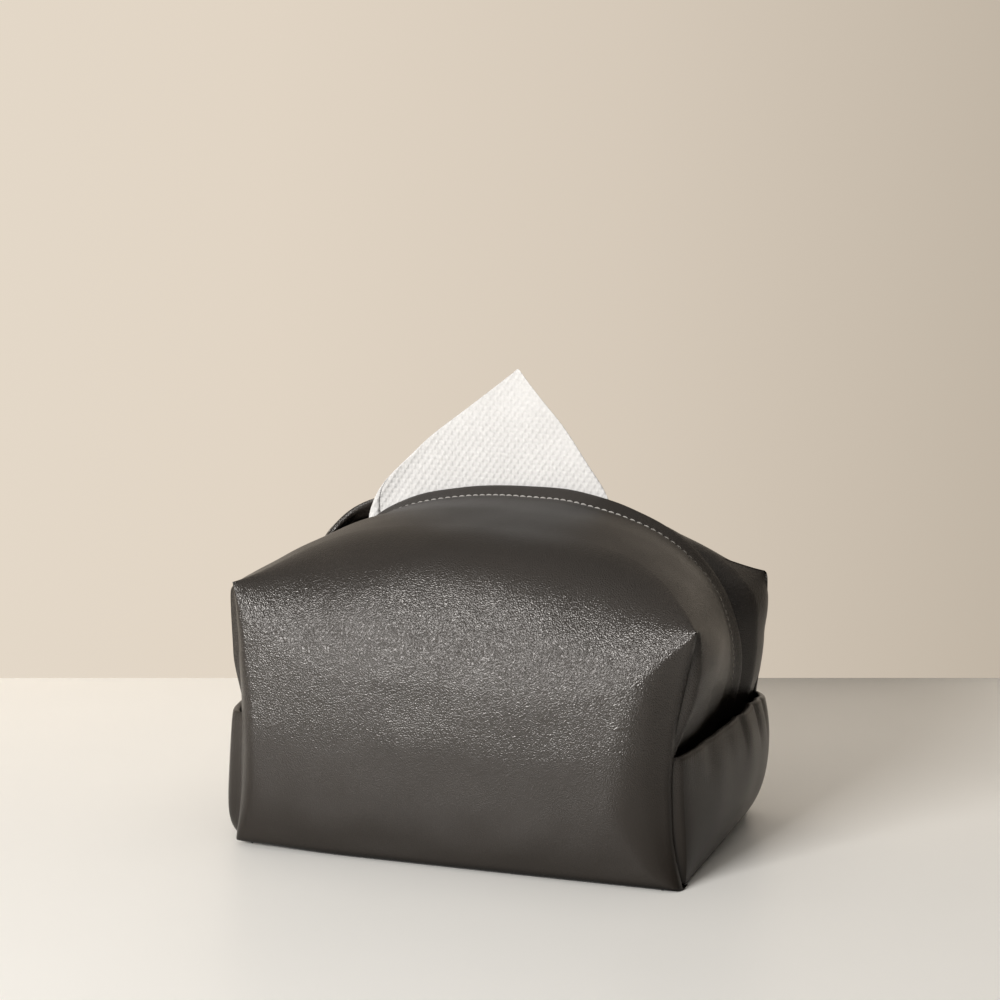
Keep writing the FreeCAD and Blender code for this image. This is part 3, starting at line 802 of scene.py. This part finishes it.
def folded_strip():
    """The folded-over strip at the sheet's left edge, a soft roll that ends in a small curl by the lip."""
    sheet = Sheet("tissue_fold")
    last = STRIP_COLUMNS - 1
    angles = [math.pi * (STRIP_TURN_START + STRIP_TURN * j / last) for j in range(STRIP_COLUMNS)]
    rings = []
    for k, z in enumerate(steps(STRIP_LOW, STRIP_HIGH, STRIP_ROWS)):
        edge = tissue_place(-1.0, z)
        share = k / (STRIP_ROWS - 1)
        wide = mix(*STRIP_WIDTH, smooth(share * 1.02) ** 0.7) / 2
        deep = wide * STRIP_FLATNESS * mix(1.0, 0.5, share)
        ring = []
        for angle in angles:
            across, forward = wide - wide * math.cos(angle), deep * math.sin(angle) + STRIP_GAP
            ring.append(edge + Vector((across, -forward, 0.0)))
        rings.append(ring)
    sheet.grid(rings)
    return thicken(sheet.build(), FOLDED_PLY)


# ---- materials. Heights and distances are in metres here

GRAIN_SCALE, GRAIN_TURN = 1900.0, (0.62, 0.44, 0.31)
PORE_SCALE, PORE_HEIGHT = 3000.0, 0.15
GRAIN_DEPTH, FAINT_GRAIN, STRONG_GRAIN = 0.0007, 0.06, 0.46
FOLD_Z, FACE_Z, SHOULDER_Z, LIP_Z = 0.025, 0.06, 0.122, 0.146  # the grain is stretched flat below and above
LEATHER_COLOUR, CREASE_COLOUR = (0.0140, 0.0108, 0.0084), (0.0115, 0.0088, 0.0068)
LEATHER_TINT = (1.0, 0.965, 0.935, 1.0)  # warm highlights
FACE_ROUGHNESS, TOP_ROUGHNESS = 0.29, 0.50
GAP_REACH = 0.007  # painted shade: leather this close darkens a gap's colour and shine
EMBOSSING_PITCH = {"X": 0.0032, "Z": 0.0046}


def grey(value):
    return (value, value, value)


def node(tree, kind, **values):
    """A new node. A value goes to the input or property of its name, and another node's output is linked."""
    made = tree.nodes.new(kind)
    for key, value in values.items():
        if isinstance(value, bpy.types.NodeSocket):
            tree.links.new(value, made.inputs[key])
        elif key in made.inputs:
            made.inputs[key].default_value = value
        else:
            setattr(made, key, value)
    return made


def calculate(tree, operation, *values):
    """The result of a math node over numbers and other nodes' outputs."""
    made = node(tree, "ShaderNodeMath", operation=operation)
    for slot, value in zip(made.inputs, values):
        if isinstance(value, bpy.types.NodeSocket):
            tree.links.new(value, slot)
        else:
            slot.default_value = value
    return made.outputs[0]


def ramp(tree, source, *stops):
    """A colour for each value of the source, between stops of value and colour."""
    made = node(tree, "ShaderNodeValToRGB", Fac=source)
    elements = made.color_ramp.elements
    while len(elements) < len(stops):
        elements.new(0.5)
    for element, (position, colour) in zip(elements, stops):
        element.position = position
        element.color = (*colour, 1.0)
    return made.outputs["Color"]


def multiply(tree, share, first, second):
    made = node(tree, "ShaderNodeMixRGB", blend_type="MULTIPLY", Fac=share, Color1=first, Color2=second)
    return made.outputs["Color"]


def along(tree, vector, axis):
    return node(tree, "ShaderNodeSeparateXYZ", Vector=vector).outputs[axis]


def cloud(tree, vector, scale, detail, **more):
    return node(tree, "ShaderNodeTexNoise", Vector=vector, Scale=scale, Detail=detail, **more).outputs["Fac"]


def set_shader(tree, **values):
    """Numbers and other nodes' outputs on the shader's sockets, with spaces for the names' underscores."""
    shader = tree.nodes["Principled BSDF"]
    for key, value in values.items():
        slot = shader.inputs[key.replace("_", " ")]
        if isinstance(value, bpy.types.NodeSocket):
            tree.links.new(value, slot)
        else:
            slot.default_value = value


def new_material(name):
    """A material, its nodes and the place on the object that they start from."""
    material = bpy.data.materials.new(name)
    material.use_nodes = True
    tree = material.node_tree
    return material, tree, tree.nodes.new("ShaderNodeTexCoord").outputs


def leather_material():
    """Fine pebbled grain, fainter where the leather is stretched, and painted shade that darkens the colour
    and shine in gaps and creases.
    """
    material, tree, where = new_material("leather_look")
    place, z = where["Object"], along(tree, where["Object"], "Z")
    turned = node(tree, "ShaderNodeMapping", Vector=place, Rotation=GRAIN_TURN).outputs["Vector"]
    grain = cloud(tree, turned, GRAIN_SCALE, 0.0)
    pores = cloud(tree, place, PORE_SCALE, 1.0)
    patches = cloud(tree, place, 26.0, 3.0)

    faint, strong = grey(FAINT_GRAIN), grey(STRONG_GRAIN)
    strength = ramp(tree, z, (FOLD_Z, faint), (FACE_Z, strong), (SHOULDER_Z, strong), (LIP_Z, faint))
    height = calculate(tree, "MULTIPLY_ADD", pores, PORE_HEIGHT, grain)
    bump = node(tree, "ShaderNodeBump", Distance=GRAIN_DEPTH, Strength=strength, Height=height, invert=True)

    # painted shade: ambient occlusion darkens the leather's colour and shine in gaps and creases
    near = node(tree, "ShaderNodeAmbientOcclusion", Distance=GAP_REACH, samples=8).outputs["AO"]
    painted_gap_shade = ramp(tree, near, (0.25, grey(0.12)), (0.8, grey(1.0)))
    colour = ramp(tree, grain, (0.3, LEATHER_COLOUR), (0.9, CREASE_COLOUR))
    shade = ramp(tree, patches, (0.3, (0.82, 0.80, 0.78)), (0.7, (1.12, 1.1, 1.08)))
    colour = multiply(tree, 1.0, multiply(tree, 0.35, colour, shade), painted_gap_shade)

    uneven = ramp(tree, patches, (0.3, grey(0.0)), (0.7, grey(0.04)))
    by_height = ramp(tree, z, (0.112, grey(FACE_ROUGHNESS)), (0.142, grey(TOP_ROUGHNESS)))
    roughness = calculate(tree, "ADD", uneven, by_height)

    shine = ramp(tree, z, (0.01, grey(0.36)), (0.062, grey(0.73)), (0.112, grey(0.73)), (0.142, grey(0.58)))
    sideways = calculate(tree, "ABSOLUTE", along(tree, where["Normal"], "X"))
    ends_duller = ramp(tree, sideways, (0.45, grey(1.0)), (0.8, grey(0.5)))
    shine = calculate(tree, "MULTIPLY", calculate(tree, "MULTIPLY", shine, ends_duller), painted_gap_shade)
    set_shader(tree, Normal=bump.outputs["Normal"], Base_Color=colour, Roughness=roughness)
    set_shader(tree, Specular_IOR_Level=shine, Specular_Tint=LEATHER_TINT)
    return material


def tissue_material():
    """White tissue with an embossed lattice of small raised dots, deeper near the mouth."""
    material, tree, where = new_material("tissue_paper_look")
    place = where["Object"]
    waves = []
    for axis, pitch in EMBOSSING_PITCH.items():
        turns = calculate(tree, "MULTIPLY", along(tree, place, axis), math.tau / pitch)
        waves.append(calculate(tree, "COSINE", turns))
    dots = calculate(tree, "MAXIMUM", calculate(tree, "MULTIPLY", *waves), -0.15)
    fibre = cloud(tree, place, 900.0, 4.0)
    height = calculate(tree, "MULTIPLY_ADD", fibre, 0.12, dots)
    strength = ramp(tree, along(tree, place, "Z"), (0.145, grey(0.5)), (0.185, grey(0.26)))
    bump = node(tree, "ShaderNodeBump", Distance=0.0006, Strength=strength, Height=height)
    tone = ramp(tree, fibre, (0.35, (0.60, 0.589, 0.576)), (0.65, (0.66, 0.648, 0.634)))
    set_shader(tree, Normal=bump.outputs["Normal"], Base_Color=tone, Roughness=0.9, Specular_IOR_Level=0.15)
    set_shader(tree, Subsurface_Weight=0.15, Subsurface_Radius=grey(0.004))
    return material


def thread_material():
    """Pale twisted thread, with painted shade that darkens it towards the right, where the lip bends down."""
    material, tree, where = new_material("thread_look")
    place = where["Object"]
    ply = node(tree, "ShaderNodeTexWave", Vector=place, Scale=900.0, Distortion=1.5).outputs["Fac"]
    bump = node(tree, "ShaderNodeBump", Strength=0.5, Distance=0.00015, Height=ply)
    tone = ramp(tree, ply, (0.2, (0.30, 0.285, 0.265)), (0.8, (0.50, 0.48, 0.45)))
    # painted shade: the thread's colour darkens towards the right end of the lip
    painted_shade_right = ramp(tree, along(tree, place, "X"), (0.045, grey(1.0)), (0.08, (0.5, 0.47, 0.44)))
    set_shader(tree, Normal=bump.outputs["Normal"], Base_Color=multiply(tree, 1.0, tone, painted_shade_right))
    set_shader(tree, Roughness=0.6, Sheen_Weight=0.3)
    return material


def film_material():
    """The pack's pale crumpled film."""
    material, tree, where = new_material("film_look")
    folds = cloud(tree, where["Object"], 60.0, 5.0, Roughness=0.6)
    bump = node(tree, "ShaderNodeBump", Strength=0.6, Distance=0.001, Height=folds)
    tone = ramp(tree, folds, (0.3, (0.62, 0.63, 0.63)), (0.7, (0.76, 0.77, 0.77)))
    set_shader(tree, Normal=bump.outputs["Normal"], Base_Color=tone, Roughness=0.28)
    return material


def plain_material(name, colour, rough):
    """One colour with faint patches."""
    material, tree, where = new_material(name)
    darker = tuple(c * 0.985 for c in colour)
    lighter = tuple(min(1.0, c * 1.01) for c in colour)
    tone = ramp(tree, cloud(tree, where["Object"], 6.0, 3.0), (0.3, darker), (0.7, lighter))
    set_shader(tree, Base_Color=tone, Roughness=rough)
    return material


leather = leather_material()
thread = thread_material()
tissue = tissue_material()
film = film_material()


def dress(piece, material):
    piece.data.materials.clear()
    piece.data.materials.append(material)


# ---- pieces

front = cover_skin(FRONT)
dress(front, leather)
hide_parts("front_panel", "front_shoulder_panel", "front_lip_panel", "front_lip_hem")
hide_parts("front_left_corner_seam", "front_right_corner_seam")
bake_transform(front)

back = cover_skin(BACK)
dress(back, leather)
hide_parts("back_panel", "back_shoulder_panel", "back_lip_panel", "back_lip_hem")
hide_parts("back_left_corner_seam", "back_right_corner_seam")
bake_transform(back)

for end, name in ((LEFT, "left"), (RIGHT, "right")):
    flap = flap_skin(end, name)
    dress(flap, leather)
    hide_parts(f"{name}_end_flap", f"{name}_end_seam")
    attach(flap, "cover")

base = base_skin()
dress(base, leather)
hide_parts("base_panel")
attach(base, "cover")

for side in (FRONT, BACK):
    row = stitches(side)
    dress(row, thread)
    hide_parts(f"{side}_lip_stitching")
    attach(row, f"{side}_lip")

paper = tissue_skin()
dress(paper, tissue)
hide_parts("top_tissue")
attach(paper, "tissue")
fold = folded_strip()
dress(fold, tissue)
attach(fold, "tissue")

for name, material in (("tissue_stack", tissue), ("refill_wrapper", film)):
    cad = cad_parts[name]
    cad.data.materials.clear()
    cad.data.materials.append(material)

# ---- stage, light and camera, in metres

VIEW = Vector((-0.311647, 0.934191, -0.172840))  # the camera's direction
EYE = Vector((0.32094 + SHIFT / 1000, -0.95771, 0.32205))
LENS, SENSOR = 86.4, 36.0  # millimetres
FLOOR_Z = -0.0002
FLOOR_HALF = 6
WALL_DISTANCE = 1.274  # from the camera to the foot of the wall, along the floor
WALL_HALF, WALL_HEIGHT = 3, 0.40
FLOOR_COLOUR, WALL_COLOUR = (0.90, 0.885, 0.85), (0.64, 0.57, 0.485)
PAINTED_WALL_LIGHT = (  # painted light: x on the wall and the colour it glows there, darker to the right as the light falls off
    (-0.35, (0.775, 0.687, 0.578)),
    (-0.20, (0.752, 0.66, 0.55)),
    (-0.02, (0.67, 0.585, 0.485)),
    (0.17, (0.535, 0.465, 0.38)),
)
SHADES_START = 0.6  # a ramp has no negative values, so x is counted from this far to the left


def mix_shaders(tree, share, first, second):
    made = node(tree, "ShaderNodeMixShader", Fac=share)
    tree.links.new(first, made.inputs[1])
    tree.links.new(second, made.inputs[2])
    return made.outputs["Shader"]


def backdrop_material():
    """A wall that shows the camera, reflections and clear things a glow of painted light, darker to the
    right, is lit like any other surface for all else, and is clear from behind."""
    material = plain_material("backdrop_look", WALL_COLOUR, 0.9)
    tree = material.node_tree
    place = tree.nodes.new("ShaderNodeTexCoord").outputs["Object"]
    x = calculate(tree, "ADD", along(tree, place, "X"), SHADES_START)
    painted_light = ramp(tree, x, *[(at + SHADES_START, colour) for at, colour in PAINTED_WALL_LIGHT])
    # painted light: the wall glows in these colours with no lamp, lighter to the left and darker to the right
    glow = node(tree, "ShaderNodeEmission", Color=painted_light).outputs["Emission"]
    rays = tree.nodes.new("ShaderNodeLightPath").outputs
    mirrored = calculate(tree, "MAXIMUM", rays["Is Glossy Ray"], rays["Is Transmission Ray"])
    seen = calculate(tree, "MAXIMUM", rays["Is Camera Ray"], mirrored)
    wall = mix_shaders(tree, seen, tree.nodes["Principled BSDF"].outputs["BSDF"], glow)
    behind = tree.nodes.new("ShaderNodeNewGeometry").outputs["Backfacing"]
    clear = tree.nodes.new("ShaderNodeBsdfTransparent").outputs["BSDF"]
    tree.links.new(mix_shaders(tree, behind, wall, clear), tree.nodes["Material Output"].inputs["Surface"])
    return material


def stage_plane(name, corners, material):
    mesh = bpy.data.meshes.new(name)
    mesh.from_pydata(corners, [], [(0, 1, 2, 3)])
    made = bpy.data.objects.new(name, mesh)
    bpy.context.collection.objects.link(made)
    made.data.materials.append(material)


def area_light(name, position, target, size, power, colour):
    data = bpy.data.lights.new(name, "AREA")
    data.shape = "RECTANGLE"
    data.size, data.size_y = size
    data.energy = power
    data.color = colour
    lamp = bpy.data.objects.new(name, data)
    lamp.location = position
    lamp.rotation_euler = (Vector(target) - Vector(position)).to_track_quat("-Z", "Y").to_euler()
    bpy.context.collection.objects.link(lamp)


floor_corners = [(x * FLOOR_HALF, y * FLOOR_HALF, FLOOR_Z) for x, y in ((-1, -1), (1, -1), (1, 1), (-1, 1))]
stage_plane("floor", floor_corners, plain_material("floor_look", FLOOR_COLOUR, 0.4))
ahead = Vector((VIEW.x, VIEW.y, 0)).normalized()
aside = Vector((ahead.y, -ahead.x, 0)) * WALL_HALF
foot = Vector((EYE.x, EYE.y, FLOOR_Z)) + ahead * WALL_DISTANCE
up = Vector((0, 0, WALL_HEIGHT))
wall_corners = [foot - aside, foot + aside, foot + aside + up, foot - aside + up]
stage_plane("backdrop", wall_corners, backdrop_material())

area_light("key", (-0.6, -1.66, 0.76), (0, 0, 0.07), size=(0.8, 0.46), power=43, colour=(1.0, 0.99, 0.975))
area_light("ceiling", (0.0, -0.4, 1.9), (0, 0, 0.0), size=(2.4, 2.4), power=10, colour=(1.0, 0.955, 0.895))
area_light("side", (1.5, 0.5, 0.7), (0.1, 0.03, 0.1), size=(0.8, 0.8), power=0.3, colour=(1.0, 0.94, 0.84))

world = bpy.data.worlds.new("studio")
world.use_nodes = True
world.node_tree.nodes["Background"].inputs["Color"].default_value = (0.93, 0.90, 0.86, 1)
world.node_tree.nodes["Background"].inputs["Strength"].default_value = 0.15
bpy.context.scene.world = world
bpy.context.scene.view_settings.view_transform = "Standard"

camera_data = bpy.data.cameras.new("camera")
camera_data.lens = LENS
camera_data.sensor_width = SENSOR
camera_data.sensor_fit = "HORIZONTAL"
camera_data.clip_end = 50.0
camera = bpy.data.objects.new("camera", camera_data)
camera.location = EYE
camera.rotation_euler = VIEW.to_track_quat("-Z", "Y").to_euler()
bpy.context.collection.objects.link(camera)
bpy.context.scene.camera = camera
